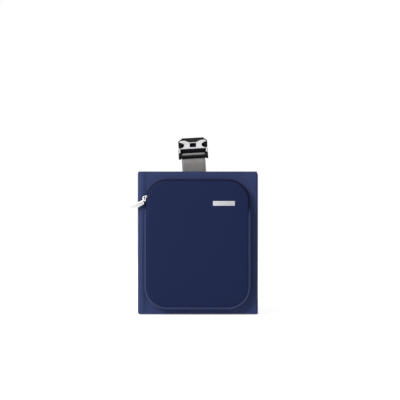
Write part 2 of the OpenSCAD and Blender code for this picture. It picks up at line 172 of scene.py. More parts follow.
def make_twill_group():
    """Diagonal twill: sin(k(a + b)) ribs crossed by a finer sin(k(a - b)) thread, plus slow
    cloudy unevenness. Height feeds a bump, Shade the colour."""
    group, enter, leave = new_group(
        "twill",
        [("Vector", "NodeSocketVector", None), ("Ribs per metre", "NodeSocketFloat", 900.0),
         ("Cloud", "NodeSocketFloat", 0.5)],
        ["Height", "Shade"],
    )
    split = group.nodes.new("ShaderNodeSeparateXYZ")
    wire(group, enter, "Vector", split, 0)
    flat = math_node(group, "ADD", (split, 0), (split, 1))
    rise = (split, 2)
    turn = math_node(group, "MULTIPLY", (enter, "Ribs per metre"), 2 * math.pi)
    ribs = math_node(group, "MULTIPLY", math_node(group, "ADD", flat, rise), turn)
    ribs = math_node(group, "SINE", ribs)
    weft = math_node(group, "MULTIPLY", math_node(group, "SUBTRACT", flat, rise), turn)
    weft = math_node(group, "SINE", math_node(group, "MULTIPLY", weft, 1.7))
    weave = math_node(group, "MULTIPLY_ADD", ribs, 0.35)
    weave[0].inputs[2].default_value = 0.5
    threads = math_node(group, "MULTIPLY", weft, 0.15)
    height = math_node(group, "ADD", weave, threads)
    noise = group.nodes.new("ShaderNodeTexNoise")
    noise.inputs["Scale"].default_value = 60
    noise.inputs["Detail"].default_value = 6
    wire(group, enter, "Vector", noise, "Vector")
    cloud = math_node(group, "SUBTRACT", (noise, 0), 0.5)
    cloud = math_node(group, "MULTIPLY", cloud, (enter, "Cloud"))
    shade = math_node(group, "ADD", math_node(group, "MULTIPLY", height, 0.5), cloud)
    shade = math_node(group, "ADD", shade, 0.25, clamp=True)
    group.links.new(height[0].outputs[0], leave.inputs["Height"])
    group.links.new(shade[0].outputs[0], leave.inputs["Shade"])
    return group


TWILL = make_twill_group()


def put_group(tree, group, **values):
    node = tree.nodes.new("ShaderNodeGroup")
    node.node_tree = group
    for label, value in values.items():
        node.inputs[label.replace("_", " ")].default_value = value
    return node


def blank_material(name, roughness, sheen=0.0, specular=0.5):
    """A material with its Principled BSDF set; returns it with its tree and shader."""
    material = bpy.data.materials.new(name)
    material.use_nodes = True
    tree = material.node_tree
    shader = tree.nodes["Principled BSDF"]
    shader.inputs["Roughness"].default_value = roughness
    shader.inputs["Sheen Weight"].default_value = sheen
    shader.inputs["Sheen Roughness"].default_value = 0.45
    shader.inputs["Specular IOR Level"].default_value = specular
    return material, tree, shader


def colour_ramp(tree, factor, low, high):
    """A mix of two colours by a (node, output) factor, into a fresh Mix node."""
    mix = tree.nodes.new("ShaderNodeMix")
    mix.data_type = "RGBA"
    tree.links.new(factor[0].outputs[factor[1]], mix.inputs["Factor"])
    mix.inputs["A"].default_value = (*low, 1)
    mix.inputs["B"].default_value = (*high, 1)
    return mix


def bump(tree, shader, height, strength, distance):
    node = tree.nodes.new("ShaderNodeBump")
    node.inputs["Strength"].default_value = strength
    node.inputs["Distance"].default_value = distance
    tree.links.new(height[0].outputs[height[1]], node.inputs["Height"])
    tree.links.new(node.outputs["Normal"], shader.inputs["Normal"])


def cloth_material(name, dark, light, ribs=900.0, strength=0.35, sheen=0.02, roughness=0.62, cloud=0.5):
    material, tree, shader = blank_material(name, roughness, sheen, 0.05)
    place = tree.nodes.new("ShaderNodeTexCoord")
    twill = put_group(tree, TWILL, Ribs_per_metre=ribs, Cloud=cloud)
    wire(tree, place, "Object", twill, "Vector")
    mix = colour_ramp(tree, (twill, "Shade"), dark, light)
    tree.links.new(mix.outputs["Result"], shader.inputs["Base Color"])
    bump(tree, shader, (twill, "Height"), strength, 0.0002)
    return material


navy_cloth = cloth_material("navy_cloth", NAVY, NAVY_LIGHT)
lining_cloth = cloth_material("lining_cloth", LINING, tuple(1.7 * c for c in LINING), 1400.0, 0.2)
thread_cloth = cloth_material("thread", THREAD, tuple(1.6 * c for c in THREAD), 2500.0, 0.6)


def make_object(name, points, faces, material, body=None, smooth=True, uv=None):
    """A mesh object from arrays, with its faces turned outwards; it rides on body if one is named."""
    mesh = bpy.data.meshes.new(name)
    mesh.from_pydata(np.asarray(points, float).tolist(), [], faces)
    shape = bmesh.new()
    shape.from_mesh(mesh)
    bmesh.ops.recalc_face_normals(shape, faces=shape.faces)
    shape.to_mesh(mesh)
    shape.free()
    mesh.polygons.foreach_set("use_smooth", [smooth] * len(mesh.polygons))
    if uv is not None:
        corners = np.zeros(len(mesh.loops), int)
        mesh.loops.foreach_get("vertex_index", corners)
        mesh.uv_layers.new(name="UVMap").data.foreach_set("uv", np.asarray(uv, float)[corners].ravel())
    mesh.materials.append(material)
    obj = bpy.data.objects.new(name, mesh)
    bpy.context.collection.objects.link(obj)
    if body:
        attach(obj, body)
    return obj


def grid_faces(rows, columns, wrap_rows=False, wrap_columns=False, start=0):
    """Quads of a rows by columns grid of points, closed round either way if asked."""
    i = np.arange(rows if wrap_rows else rows - 1)
    j = np.arange(columns if wrap_columns else columns - 1)
    i, j = (g.ravel() for g in np.meshgrid(i, j, indexing="ij"))
    down, along = (i + 1) % rows, (j + 1) % columns
    here, below = i * columns, down * columns
    return (np.stack([here + j, below + j, below + along, here + along], 1) + start).tolist()


def corner_reach(b, half_a, half_b, r):
    """Half the width, at height b, of a rounded rectangle half_a by half_b with corner radius r."""
    into = np.clip(np.abs(b) - (half_b - r), 0, r)
    return half_a - r + np.sqrt(np.maximum(r * r - into * into, 0))


def edge_distance(a, b, half_a, half_b, r):
    """Distance inwards from a rounded rectangle's outline: r less the distance past its core."""
    qa, qb = np.abs(a) - (half_a - r), np.abs(b) - (half_b - r)
    outside = np.hypot(np.maximum(qa, 0), np.maximum(qb, 0))
    return np.maximum(r - outside - np.minimum(np.maximum(qa, qb), 0), 0)


def padded_slab(name, a, b, c, r, edge, material, body, plane="y", crown=(0.0, 0.02), n=(60, 80),
                ripple=None):
    """A closed slab with a rounded-rectangle outline. a and b are its limits in the outline's plane and
    c its two faces. A point (s, t) of the grid lies at t = sin of an even step up the height and s the
    same across the width there; both faces leave the outline on a quarter ellipse as wide as edge, and
    the first face is crowned by crown[0] over crown[1] metres from the edge."""
    half_a, half_b = (a[1] - a[0]) / 2, (b[1] - b[0]) / 2
    step = np.sin(np.linspace(-np.pi / 2, np.pi / 2, n[1]))
    cross = np.sin(np.linspace(-np.pi / 2, np.pi / 2, n[0]))
    bb = np.repeat(step[:, None] * half_b, n[0], axis=1)
    aa = cross[None, :] * corner_reach(bb, half_a, half_b, r)
    d = edge_distance(aa, bb, half_a, half_b, r)
    fall = np.sqrt(np.clip(1 - (1 - np.clip(d / edge, 0, 1)) ** 2, 0, 1))
    rise = crown[0] * np.sin(np.clip(d / crown[1], 0, 1) * np.pi / 2)
    middle, half = (c[0] + c[1]) / 2, (c[0] - c[1]) / 2
    aa, bb = aa + (a[0] + a[1]) / 2, bb + (b[0] + b[1]) / 2
    first = middle + half * fall + math.copysign(1, half) * rise
    if ripple is not None:
        first = first + ripple(aa, bb) * np.clip(d / (3 * edge), 0, 1)
    second = middle - half * fall
    order = {"y": (0, 2, 1), "x": (2, 0, 1), "z": (0, 1, 2)}[plane]
    sides = []
    for depth in (first, second):
        sides.append(np.stack([(aa, bb, depth)[k] for k in order], -1).reshape(-1, 3))
    rows, columns = n[1], n[0]
    faces = grid_faces(rows, columns) + grid_faces(rows, columns, start=rows * columns)
    points = np.vstack(sides)
    obj = make_object(name, points, faces, material)
    merge_doubles(obj, 1e-6)
    if body:
        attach(obj, body)
    return obj


def merge_doubles(obj, distance):
    """Welds coincident points, drops what has no area and turns the faces outwards."""
    shape = bmesh.new()
    shape.from_mesh(obj.data)
    bmesh.ops.remove_doubles(shape, verts=shape.verts, dist=distance)
    bmesh.ops.dissolve_degenerate(shape, edges=shape.edges, dist=distance / 2)
    bmesh.ops.recalc_face_normals(shape, faces=shape.faces)
    shape.to_mesh(obj.data)
    shape.free()
    obj.data.polygons.foreach_set("use_smooth", [True] * len(obj.data.polygons))


def even_points(path, step):
    """Points a fixed step apart along a polyline, with the path's unit direction at each."""
    path = np.asarray(path, float)
    legs = np.linalg.norm(np.diff(path, axis=0), axis=1)
    reach = np.concatenate([[0], np.cumsum(legs)])
    count = max(int(reach[-1] / step), 1)
    at = (np.arange(count) + 0.5) * reach[-1] / count
    points = np.stack([np.interp(at, reach, path[:, k]) for k in range(3)], 1)
    ahead = np.stack([np.interp(at + step / 4, reach, path[:, k]) for k in range(3)], 1)
    behind = np.stack([np.interp(at - step / 4, reach, path[:, k]) for k in range(3)], 1)
    way = ahead - behind
    return points, way / np.linalg.norm(way, axis=1)[:, None]


def repeat_faces(faces, count, step):
    """One shape's faces for each of count copies, every copy's points step further on in the list."""
    return [[corner + k * step for corner in face] for k in range(count) for face in faces]


def stitch_row(name, path, normal, body, material=None, pitch=0.0032, length=0.0024, thick=0.0005):
    """A row of lock stitches: one small spindle per pitch, six-sided, fattest in its middle, half sunk
    into the cloth. Its radius is thick / 2 times the square root of the sine of the way along it."""
    centre, way = even_points(path, pitch)
    normal = np.broadcast_to(np.asarray(normal, float), centre.shape)
    across = np.cross(way, normal)
    along = np.linspace(0, 1, 5)
    radius = thick / 2 * np.maximum(np.sin(np.pi * along) ** 0.5, 0.05)
    turn = np.arange(6) * np.pi / 3
    middle = centre[:, None] + way[:, None] * ((along - 0.5) * length)[:, None]
    spoke = np.cos(turn)[:, None] * across[:, None] + np.sin(turn)[:, None] * normal[:, None]
    points = middle[:, :, None] + radius[:, None, None] * spoke[:, None]
    stitch = grid_faces(5, 6, wrap_columns=True) + [list(range(5, -1, -1)), list(range(24, 30))]
    return make_object(name, points.reshape(-1, 3), repeat_faces(stitch, len(centre), 30),
                       material or thread_cloth, body)


panel_lo, panel_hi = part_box("front_panel")
panel_lo, panel_hi = np.array(panel_lo), np.array(panel_hi)
sleeve_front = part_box("panel_lining")[1][1]

BAND_START, BAND_WIDE, BAND_RISE = 0.0030, 0.0110, 0.0011


def panel_ripple(x, z):
    """Slow unevenness of cloth over board: a low wave a few centimetres long, and the soft roll of
    the band between the left fold and the pocket, a half sine wave BAND_WIDE across."""
    band = np.sin(np.pi * np.clip((x - panel_lo[0] + BAND_START) / BAND_WIDE, 0, 1))
    return 0.00012 * np.sin(x * 95 + z * 40) * np.sin(z * 70 - 1.0) - BAND_RISE * band


front_panel = padded_slab(
    "front_panel_cloth", (panel_lo[0] - FOLD_LAP, panel_hi[0] + SEAM_LAP), (panel_lo[2], panel_hi[2]),
    (panel_lo[1] - CLOTH_PROUD, sleeve_front), 0.0016, 0.0016, navy_cloth, "pouch", n=(90, 110),
    ripple=panel_ripple,
)
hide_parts("front_panel", "top_hem", "bottom_hem", "panel_lining")

for label, z in (("top", panel_hi[2] - HEM_STITCH_IN), ("bottom", panel_lo[2] + HEM_STITCH_IN)):
    row = stitch_row(
        "panel_stitch_" + label,
        [(x, panel_lo[1] - CLOTH_PROUD, z)
         for x in (panel_lo[0] + HEM_STITCH_IN, panel_hi[0] - HEM_STITCH_IN)],
        (0, -1, 0), "pouch")


# ---- Boards and foam ----
# Polyethylene boards stiffen the front panel and the wing. They are sewn in and never show.

board_plastic, board_tree, board_shader = blank_material("board_plastic", 0.5)
board_noise = board_tree.nodes.new("ShaderNodeTexNoise")
board_noise.inputs["Scale"].default_value = 300
board_mix = colour_ramp(board_tree, (board_noise, 0), (0.7, 0.7, 0.68), (0.8, 0.8, 0.78))
board_tree.links.new(board_mix.outputs["Result"], board_shader.inputs["Base Color"])


def recolour(node_name, material):
    """Gives a CAD node's object one material in every slot."""
    obj = frame["nodes"][node_name]
    obj = obj if isinstance(obj, bpy.types.Object) else bpy.data.objects[node_name]
    if not obj.data.materials:
        obj.data.materials.append(material)
    for slot in obj.material_slots:
        slot.material = material


for board in ("panel_board", "wing_board"):
    recolour(board, board_plastic)


# ---- Sleeve: side bands, flange and its hook tape ----
# The left side is a soft fold of padded cloth, the right a bound seam. A cloth flange runs in
# from the right seam behind the handle's rods and carries the hook half of the fastener.

edge_cloth = cloth_material("fold_cloth", NAVY, NAVY_LIGHT, 900.0, 0.35, sheen=0.08)

lo, hi = (np.array(p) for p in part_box("left_side_band"))
left_band = padded_slab("left_fold_cloth", (lo[1] + 0.0012, hi[1]), (lo[2], hi[2]), (lo[0], hi[0]),
                        0.0022, 0.0024, edge_cloth, "pouch", plane="x", n=(40, 100),
                        ripple=lambda y, z: -0.0002 * np.sin(z * 130) * np.sin(z * 47 + 1))
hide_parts("left_side_band")

lo, hi = (np.array(p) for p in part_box("right_side_band"))
right_band = padded_slab("right_seam_binding", (lo[1], hi[1]), (lo[2], hi[2]), (hi[0], lo[0]),
                         0.0012, 0.0009, edge_cloth, "pouch", plane="x", n=(40, 80))
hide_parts("right_side_band")

lo, hi = (np.array(p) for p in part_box("rear_flange"))
flange = padded_slab("rear_flange_cloth", (lo[0], hi[0]), (lo[2], hi[2]), (hi[1], lo[1]),
                     0.002, 0.0007, navy_cloth, "pouch", n=(40, 90))
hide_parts("rear_flange")


def fastener_material(name, scale, strength):
    """Hook and loop tape: a fine random pile, cell by cell, dark and dull."""
    material, tree, shader = blank_material(name, 0.9, 0.3, 0.2)
    place = tree.nodes.new("ShaderNodeTexCoord")
    cells = tree.nodes.new("ShaderNodeTexVoronoi")
    cells.inputs["Scale"].default_value = scale
    wire(tree, place, "Object", cells, "Vector")
    mix = colour_ramp(tree, (cells, 0), (0.016, 0.02, 0.055), (0.006, 0.007, 0.02))
    tree.links.new(mix.outputs["Result"], shader.inputs["Base Color"])
    bump(tree, shader, (cells, 0), strength, 0.0006)
    return material


hook_pile = fastener_material("hook_pile", 900, 1.0)
loop_pile = fastener_material("loop_pile", 1500, 0.7)


def tape_piece(name, node, material, body, outwards):
    """A fastener tape with softly rolled edges, its pile facing +Y (1) or -Y (-1)."""
    lo, hi = (np.array(p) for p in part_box(node))
    depth = (hi[1], lo[1]) if outwards > 0 else (lo[1], hi[1])

    def pile(x, z):
        return outwards * 0.00006 * np.sin(x * 1900) * np.sin(z * 1700)

    tape = padded_slab(name, (lo[0], hi[0]), (lo[2], hi[2]), depth, 0.002, 0.0006, material, body,
                       n=(30, 70), ripple=pile)
    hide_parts(node)
    return tape


tape_piece("hook_tape_pile", "hook_tape", hook_pile, "pouch", 1)


# ---- Pocket ----
# A raised pocket with round corners: a foam-backed face of the same twill, one piece from foot to
# top, whose upper part is the zipped flap. A gusset joins its lower part to the panel, and a roll
# of cloth is sewn round the gusset's front edge.

face_lo, face_hi = (np.array(p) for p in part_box("pocket_face"))
face_hi[2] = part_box("pocket_flap")[1][2]
face_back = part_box("face_foam")[1][1]
FACE_RADIUS, FACE_EDGE = 0.027, 0.0045
GUSSET_THICK = 0.001
PIPING_FADE = 0.009


def joint(name):
    """The frame's record of one joint."""
    return next(j for j in frame["joints"] if j["name"] == name)


face_cloth = cloth_material("face_cloth", (0.0048, 0.0078, 0.0295), (0.0072, 0.0114, 0.040), 1100.0, 0.3,
                            sheen=0.0, cloud=0.25)


def face_ripple(x, z):
    """The foam's own softness: a very low wave across the face."""
    return 0.00010 * np.sin(x * 60 + 1) * np.sin(z * 55)


pocket_front = padded_slab(
    "pocket_face_cloth", (face_lo[0], face_hi[0]), (face_lo[2], face_hi[2]),
    (face_lo[1] + 0.0004, face_back), FACE_RADIUS, FACE_EDGE, face_cloth, None,
    crown=(0.0006, 0.03), n=(130, 170), ripple=face_ripple)
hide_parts("pocket_face", "face_foam", "pocket_flap", "flap_foam")
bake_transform(pocket_front)


def round_the_face(start, end, grow, n=14):
    """Points (x, z) on the face's outline grown outwards by grow: up the left side from height start,
    over two quarter arcs and the top, and down the right side to height end."""
    r = FACE_RADIUS + grow
    left, right = face_lo[0] + FACE_RADIUS, face_hi[0] - FACE_RADIUS
    top = face_hi[2] - FACE_RADIUS
    turn = np.linspace(0, np.pi / 2, n)
    first = np.stack([left - r * np.cos(turn), top + r * np.sin(turn)], 1)
    second = np.stack([right + r * np.sin(turn), top + r * np.cos(turn)], 1)
    rise = np.stack([np.full(8, left - r), np.linspace(start, top, 8, endpoint=False)], 1)
    run = np.stack([np.linspace(left, right, 30)[1:-1], np.full(28, top + r)], 1)
    drop = np.stack([np.full(8, right + r), np.linspace(top, end, 9)[1:]], 1)
    return np.vstack([rise, first, run, second, drop])


def round_the_foot(start, grow, n=14):
    """The same outline from height start on the left, down round the foot and up to it on the right."""
    path = round_the_face(face_lo[2] + face_hi[2] - start, face_lo[2] + face_hi[2] - start, grow, n)
    path[:, 1] = face_lo[2] + face_hi[2] - path[:, 1]
    return path


def side_ways(path):
    """Unit directions along a path of points and the directions square to it, to its left."""
    way = np.gradient(path, axis=0)
    way /= np.linalg.norm(way, axis=1)[:, None]
    return way, np.stack([-way[:, 1], way[:, 0]], 1)


def carried_profile(name, path, profile, material, body):
    """A closed profile of (outwards, y) points carried along a path of (x, z) points: each ring is the
    path's point plus outwards times its left-hand normal, at depth y. Both ends are capped."""
    way, out = side_ways(path)
    profile = np.asarray(profile, float)
    x = path[:, None, 0] + out[:, None, 0] * profile[None, :, 0]
    z = path[:, None, 1] + out[:, None, 1] * profile[None, :, 0]
    y = np.broadcast_to(profile[None, :, 1], x.shape)
    points = np.stack([x, y, z], -1).reshape(-1, 3)
    rows, columns = x.shape
    faces = grid_faces(rows, columns, wrap_columns=True)
    faces += [list(range(columns)), list(range((rows - 1) * columns, rows * columns))]
    return make_object(name, points, faces, material, body)


def tube(name, path, radius, material, body, sides=12, closed=False):
    """A round tube carried along a path of (x, y, z) points: each ring is square to the path, its
    first direction kept by projecting the last ring's onto the new plane. radius may vary by point."""
    path = np.asarray(path, float)
    radii = np.broadcast_to(radius, len(path))
    way = np.gradient(path, axis=0)
    if closed:
        way[0] = path[1] - path[-1]
        way[-1] = path[0] - path[-2]
    way /= np.linalg.norm(way, axis=1)[:, None]
    across = np.cross(way[0], (0.3, 0.9, 0.2))
    rings = []
    turn = np.arange(sides) * 2 * np.pi / sides
    for p, w, r in zip(path, way, radii):
        across = across - w * (across @ w)
        across /= np.linalg.norm(across)
        other = np.cross(w, across)
        rings.append(p + r * (np.cos(turn)[:, None] * across + np.sin(turn)[:, None] * other))
    faces = grid_faces(len(path), sides, wrap_rows=closed, wrap_columns=True)
    if not closed:
        faces += [list(range(sides)), list(range((len(path) - 1) * sides, len(path) * sides))]
    return make_object(name, np.vstack(rings), faces, material, body)


def flat_profile(out0, out1, y0, y1, r=0.0003, n=3):
    """A rectangle with rounded corners of radius r, n + 1 points to a corner."""
    r = min(r, abs(out1 - out0) / 2.01, abs(y1 - y0) / 2.01)
    corners = np.array([(out1 - r, y1 - r, 0), (out0 + r, y1 - r, 90),
                        (out0 + r, y0 + r, 180), (out1 - r, y0 + r, 270)])
    turn = np.radians(corners[:, 2:] + np.linspace(0, 90, n + 1))
    rounds = corners[:, :1] + r * np.cos(turn), corners[:, 1:2] + r * np.sin(turn)
    return np.stack(rounds, -1).reshape(-1, 2)


foot_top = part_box("pocket_gusset")[1][2]
gusset = carried_profile("pocket_gusset_cloth", round_the_foot(foot_top, 0.0),
                         flat_profile(0.0, GUSSET_THICK, face_back, panel_lo[1], 0.0004),
                         navy_cloth, "pouch")
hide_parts("pocket_gusset")

piping_lo, piping_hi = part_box("pocket_piping")
piping_r = (piping_hi[1] - piping_lo[1]) / 2
roll, roll_y = round_the_foot(piping_hi[2], piping_r, 40), (piping_lo[1] + piping_hi[1]) / 2
roll = np.insert(roll, 1, roll[0] + (roll[1] - roll[0]) * np.array([[0.1], [0.3], [0.6]]), axis=0)
roll = np.insert(roll, -1, roll[-1] + (roll[-2] - roll[-1]) * np.array([[0.6], [0.3], [0.1]]), axis=0)
gone = np.concatenate([[0], np.cumsum(np.linalg.norm(np.diff(roll, axis=0), axis=1))])
fade = np.sqrt(np.clip(np.minimum(gone, gone[-1] - gone) / PIPING_FADE, 0.04, 1))
piping = tube("pocket_piping_roll", np.stack([roll[:, 0], np.full(len(roll), roll_y), roll[:, 1]], 1),
              piping_r * fade, edge_cloth, "pouch", 20)
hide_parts("pocket_piping")

base_section = flat_profile(-0.0032, 0.0, panel_lo[1] - 0.0012, panel_lo[1] - 0.0001, 0.0005)
base_seam = carried_profile("pocket_base_seam", round_the_foot(piping_hi[2], 0.0), base_section,
                            edge_cloth, "pouch")

slip_lo, slip_hi = (np.array(p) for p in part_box("slip_pocket"))
slip = padded_slab("slip_pocket_cloth", (slip_lo[0], slip_hi[0]), (slip_lo[2], slip_hi[2]),
                   (slip_lo[1], slip_lo[1] + 0.0008), 0.003, 0.0004, lining_cloth, "pouch", n=(40, 60))
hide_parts("slip_pocket")
for label, x in (("left", slip_lo[0] + 0.0015), ("right", slip_hi[0] - 0.0015)):
    seam_ends = [(x, slip_lo[1], z) for z in (slip_lo[2] + 0.002, slip_hi[2] - 0.002)]
    seam = stitch_row("slip_pocket_stitch_" + label, seam_ends, (0, -1, 0), "pouch")


# ---- Zip ----
# A coil zip round the pocket's top: two woven tapes, each with a chain of small nylon teeth that
# mesh with the other's, a black crimped stop at each end, and a nickel-plated slider.

# The tapes are coloured nearly black: their own dark colour, deepened to paint in the shade along the
# zip's gap.
tape_weave = cloth_material("zip_tape_weave", (0.003, 0.0035, 0.009), (0.006, 0.007, 0.017), 1600.0, 0.5)
tooth_nylon, tooth_tree, tooth_shader = blank_material("tooth_nylon", 0.5, 0.0, 0.1)
tooth_noise = tooth_tree.nodes.new("ShaderNodeTexNoise")
tooth_noise.inputs["Scale"].default_value = 900
tooth_mix = colour_ramp(tooth_tree, (tooth_noise, 0), (0.004, 0.005, 0.012), (0.010, 0.012, 0.028))
tooth_tree.links.new(tooth_mix.outputs["Result"], tooth_shader.inputs["Base Color"])

TOOTH_PITCH = 0.0015
SEAM_TAPE_WIDE = 0.0024
coil_lo, coil_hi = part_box("zip_coil_rear")
coil_top = coil_hi[2] - face_hi[2]
zip_foot = coil_lo[2]

# A flat strip round the zip's outline, lying on the panel and coloured darker than its cloth: partly the
# zip tape's sewn-down edge and partly painted shade along the zip.
zip_shade_weave = cloth_material("zip_seam_painted_shade", (0.0055, 0.007, 0.020), (0.0095, 0.012, 0.034),
                              1600.0, 0.4)
zip_shade_strip = carried_profile("zip_seam_tape", round_the_face(zip_foot, zip_foot, 0.0),
                              flat_profile(0.0, SEAM_TAPE_WIDE, panel_lo[1] - 0.0011,
                                           panel_lo[1] - 0.0001, 0.0004),
                              zip_shade_weave, "pouch")


def zip_tape(name, node, body):
    lo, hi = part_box(node)
    tape = carried_profile(name, round_the_face(lo[2], lo[2], 0.0),
                           flat_profile(-0.0008, 0.0, lo[1], hi[1], 0.0002), tape_weave, body)
    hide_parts(node)
    return tape


zip_tape("zip_tape_rear_weave", "zip_tape_rear", "pouch")
zip_tape("zip_tape_front_weave", "zip_tape_front", "pocket_flap")


def zip_teeth(name, node, body, side):
    """One tooth per pitch along the chain: a box with a domed outer face, reaching from its tape
    to just past the middle. side is 1 for the rear chain and -1 for the front one, half a pitch on."""
    path = round_the_face(zip_foot, zip_foot, 0.0)
    flat = np.stack([path[:, 0], np.zeros(len(path)), path[:, 1]], 1)
    centre, way = even_points(flat, TOOTH_PITCH)
    out = np.stack([-way[:, 2], np.zeros(len(way)), way[:, 0]], 1)
    lo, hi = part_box(node)
    near, far = (hi[1], lo[1] - 0.0003) if side > 0 else (lo[1], hi[1] + 0.0003)
    depth = np.array([near, (near + far) / 2, far])
    wide = TOOTH_PITCH * np.array([0.24, 0.24, 0.30])
    arch = np.radians([0, 45, 90, 135, 180])
    along = side * TOOTH_PITCH / 4 + wide[:, None] * np.cos(arch)
    rise = coil_top * (0.15 + 0.85 * np.sin(arch))
    points = (centre[:, None, None] + way[:, None, None] * along[:, :, None]
              + out[:, None, None] * rise[:, None] + depth[:, None, None] * np.array([0, 1, 0]))
    tooth = grid_faces(3, 5, wrap_columns=True) + [list(range(5)), list(range(14, 9, -1))]
    points, faces = points.reshape(-1, 3), repeat_faces(tooth, len(centre), 15)
    teeth = make_object(name, points, faces, tooth_nylon, body, smooth=False)
    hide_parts(node)
    return teeth


zip_teeth("zip_teeth_rear", "zip_coil_rear", "pouch", 1)
zip_teeth("zip_teeth_front", "zip_coil_front", "pocket_flap", -1)


def plated_metal(name, tint=(0.72, 0.72, 0.73), roughness=0.22):
    """Nickel plate: metallic, with faint brushing and darker, duller worn spots."""
    material, tree, shader = blank_material(name, roughness)
    shader.inputs["Metallic"].default_value = 1.0
    place = tree.nodes.new("ShaderNodeTexCoord")
    noise = tree.nodes.new("ShaderNodeTexNoise")
    noise.inputs["Scale"].default_value = 350
    noise.inputs["Detail"].default_value = 8
    wire(tree, place, "Object", noise, "Vector")
    mix = colour_ramp(tree, (noise, 0), tuple(0.86 * c for c in tint), tint)
    tree.links.new(mix.outputs["Result"], shader.inputs["Base Color"])
    rough = math_node(tree, "MULTIPLY_ADD", (noise, 0), 0.16)
    rough[0].inputs[2].default_value = roughness - 0.06
    tree.links.new(rough[0].outputs[0], shader.inputs["Roughness"])
    bump(tree, shader, (noise, 0), 0.08, 0.0001)
    return material


nickel = plated_metal("nickel_plate")


def rounded_copy(name, node, body, material, width, segments=3, angle=35):
    """A CAD node's own shape, welded, freed of its flat triangles and given rolled edges."""
    source = frame["nodes"][node]
    obj = bpy.data.objects.new(name, source.data.copy())
    obj.data.name = name
    bpy.context.collection.objects.link(obj)
    shape = bmesh.new()
    shape.from_mesh(obj.data)
    bmesh.ops.remove_doubles(shape, verts=shape.verts, dist=2e-6)
    bmesh.ops.dissolve_limit(shape, angle_limit=math.radians(1.5), verts=shape.verts, edges=shape.edges)
    bmesh.ops.recalc_face_normals(shape, faces=shape.faces)
    shape.to_mesh(obj.data)
    shape.free()
    obj.data.polygons.foreach_set("use_smooth", [True] * len(obj.data.polygons))
    obj.data.materials.clear()
    obj.data.materials.append(material)
    rolled = obj.modifiers.new("rolled_edges", "BEVEL")
    rolled.width, rolled.segments, rolled.limit_method = width, segments, "ANGLE"
    rolled.angle_limit = math.radians(angle)
    rolled.use_clamp_overlap = True
    rolled.harden_normals = True
    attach(obj, body)
    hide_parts(node)
    return obj


for node_name in ("zip_stop_left", "zip_stop_right"):
    stop = rounded_copy(node_name + "_crimp", node_name, "pouch", tooth_nylon, 0.0003)
slider = rounded_copy("slider_body", "zip_slider", "zip_slider", nickel, 0.00028)
pull = rounded_copy("pull_tab_plate", "pull_tab", "pull_tab", nickel, 0.00035)

ring_pin = np.array(joint("pull_ring_swing")["pos_m"])
tab_pin = np.array(joint("pull_tab_swing")["pos_m"])
RING_HALF, RING_WIRE, RING_BEND = 0.00195, 0.0005, 0.0008
ring_way = (tab_pin - ring_pin) / np.linalg.norm(tab_pin - ring_pin)
ring_len = np.linalg.norm(tab_pin - ring_pin)
loop = []
ring_corners = ((RING_BEND, 1, 90), (RING_BEND, -1, 180), (ring_len - RING_BEND, -1, 270),
                (ring_len - RING_BEND, 1, 0))
for centre_s, hand, first in ring_corners:
    centre_y = hand * (RING_HALF - RING_BEND)
    for a in np.radians(first + np.linspace(0, 90, 7)):
        along, side = centre_s + RING_BEND * np.cos(a), centre_y + RING_BEND * np.sin(a)
        loop.append(ring_pin + ring_way * along + np.array([0, side, 0]))
ring = tube("pull_ring_wire", loop, RING_WIRE, nickel, "pull_ring", closed=True)
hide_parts("pull_ring")


# ---- Badge ----
# A small plain plate, heat-pressed on to the flap near its right corner. It carries no mark.

badge_silver = plated_metal("badge_silver", (0.43, 0.43, 0.45), 0.4)
badge = rounded_copy("badge_plate", "badge", "pocket_flap", badge_silver, 0.00022)


# ---- Rear wing ----
# The pouch's back: a lined and stiffened cloth panel that folds open on the left edge and closes
# over the flange with hook and loop. The strap is sewn to it under two cloth patches.

wing_lo, wing_hi = (np.array(p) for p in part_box("rear_wing"))
wing_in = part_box("wing_lining")[0][1]
wing = padded_slab("rear_wing_cloth", (wing_lo[0], wing_hi[0]), (wing_lo[2], wing_hi[2]),
                   (wing_hi[1], wing_in), 0.004, 0.0011, navy_cloth, "rear_wing", n=(90, 110),
                   ripple=lambda x, z: 0.00012 * np.sin(x * 80 + z * 30) * np.sin(z * 60))
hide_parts("rear_wing", "wing_lining")
WING_STITCH_IN = 0.004
edge_lo, edge_hi = wing_lo + WING_STITCH_IN, wing_hi - WING_STITCH_IN
wing_edge = [(x, wing_hi[1], z) for x, z in (
    (edge_lo[0], edge_lo[2]), (edge_hi[0], edge_lo[2]), (edge_hi[0], edge_hi[2]),
    (edge_lo[0], edge_hi[2]), (edge_lo[0], edge_lo[2]))]
wing_stitch = stitch_row("rear_wing_stitch", wing_edge, (0, 1, 0), "rear_wing")
tape_piece("loop_tape_pile", "loop_tape", loop_pile, "rear_wing", -1)

fold_lo, fold_hi = (np.array(p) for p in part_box("left_side_band"))
fold_hinge = np.array(joint("rear_wing_open")["pos_m"][:2])
FOLD_THICK, FOLD_REACH = 0.0006, 0.0045
fold_line = np.array([
    (fold_lo[0] + 0.0003, fold_hi[1] - 0.0020), (fold_lo[0] + 0.0003, fold_hi[1] - 0.0006),
    (fold_lo[0] + 0.0006, fold_hi[1] + 0.0008), fold_hinge - [0, 0.0002],
    (fold_hinge[0] + 0.0015, wing_hi[1] + 0.0001), (fold_hinge[0] + FOLD_REACH, wing_hi[1] + 0.0002)])
at = np.linspace(0, len(fold_line) - 1, 21)
fold_line = np.stack([np.interp(at, np.arange(len(fold_line)), fold_line[:, k]) for k in range(2)], 1)
for _ in range(2):
    fold_line[1:-1] = (fold_line[:-2] + 2 * fold_line[1:-1] + fold_line[2:]) / 4
fold_out = side_ways(fold_line)[1] * FOLD_THICK / 2
section = np.vstack([fold_line + fold_out, (fold_line - fold_out)[::-1]])
heights = np.linspace(wing_lo[2] + 0.001, wing_hi[2] - 0.001, 60)
